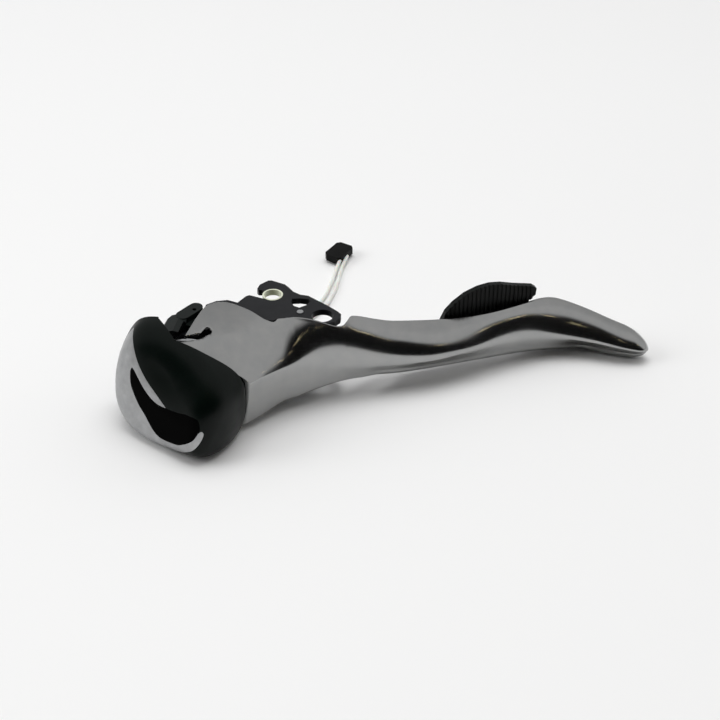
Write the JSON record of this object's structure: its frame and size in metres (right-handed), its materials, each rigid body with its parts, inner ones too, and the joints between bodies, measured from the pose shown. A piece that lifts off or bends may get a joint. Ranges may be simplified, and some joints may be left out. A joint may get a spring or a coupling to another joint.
{
  "type": "brake lever shifter",
  "caption": "Metal brake lever blade on a flat support bracket, with a shift release lever behind it, a black name cap over the shift axle and a short wired lead.",
  "frame": {"origin": "on the brake pivot axis at the lower support plate's outer face", "axes": "+Z along the brake pivot axis, away from the table the part lies on; +X from the head to the lever's tip"},
  "size_m": [0.1519, 0.09, 0.0303],
  "materials": {
    "satin_aluminium": "satin polished cast aluminium, mirror polished along the front band",
    "black_plate": "black painted steel, semi-matt",
    "black_moulding": "black moulded plastic, satin",
    "steel": "turned and plated steel",
    "liner": "pale translucent plastic",
    "name_plate": "satin black shell",
    "silver_panel": "silver grey lacquer",
    "gloss_black": "high gloss black",
    "wire_sleeve": "white flexible sleeve",
    "connector": "black moulded plastic",
    "contact": "plated contacts",
    "bush": "sintered bronze",
    "spring_steel": "drawn spring steel",
    "release_metal": "black painted pressed steel",
    "release_plastic": "black moulded plastic with fine ribs"
  },
  "bodies": {
    "root": {"support_plate_upper": "black_plate", "support_plate_lower": "black_plate", "support_block": "black_moulding", "spacer_pin": "steel", "plate_rivets": "steel", "hook_liner_upper": "liner", "hook_liner_lower": "liner", "shift_axle": "steel", "axle_clip": "spring_steel", "thrust_washer": "steel", "head_washer": "steel", "name_cap": "name_plate", "badge_panel": "silver_panel", "gloss_insert": "gloss_black", "lead_gland": "connector", "lead_wire_a": "wire_sleeve", "lead_wire_b": "wire_sleeve", "connector_housing": "connector", "connector_contacts": "contact"},
    "main_lever": {"lever_blade": "satin_aluminium", "lever_hub": "steel", "hub_bush": "bush", "hub_rivets": "steel", "return_spring": "spring_steel", "release_spring": "spring_steel"},
    "release_lever": {"release_arm": "release_metal", "release_pad": "release_plastic", "pad_rivets": "steel"}
  },
  "joints": [
    {"name": "main_lever_swing", "type": "hinge", "parent": "root", "child": "main_lever", "pos_m": [-0.03694, 0.00401, 0.01], "axis": [-0.5, -0.866, 0], "range_deg": [0, 15], "stiffness_Nm_per_rad": 0.6, "springref_deg": -20.05},
    {"name": "release_lever_swing", "type": "hinge", "parent": "main_lever", "child": "release_lever", "pos_m": [-0.03694, 0.00401, 0.01], "axis": [-0.5, -0.866, 0], "range_deg": [0, 6], "stiffness_Nm_per_rad": 0.3, "springref_deg": -17.19}
  ]
}
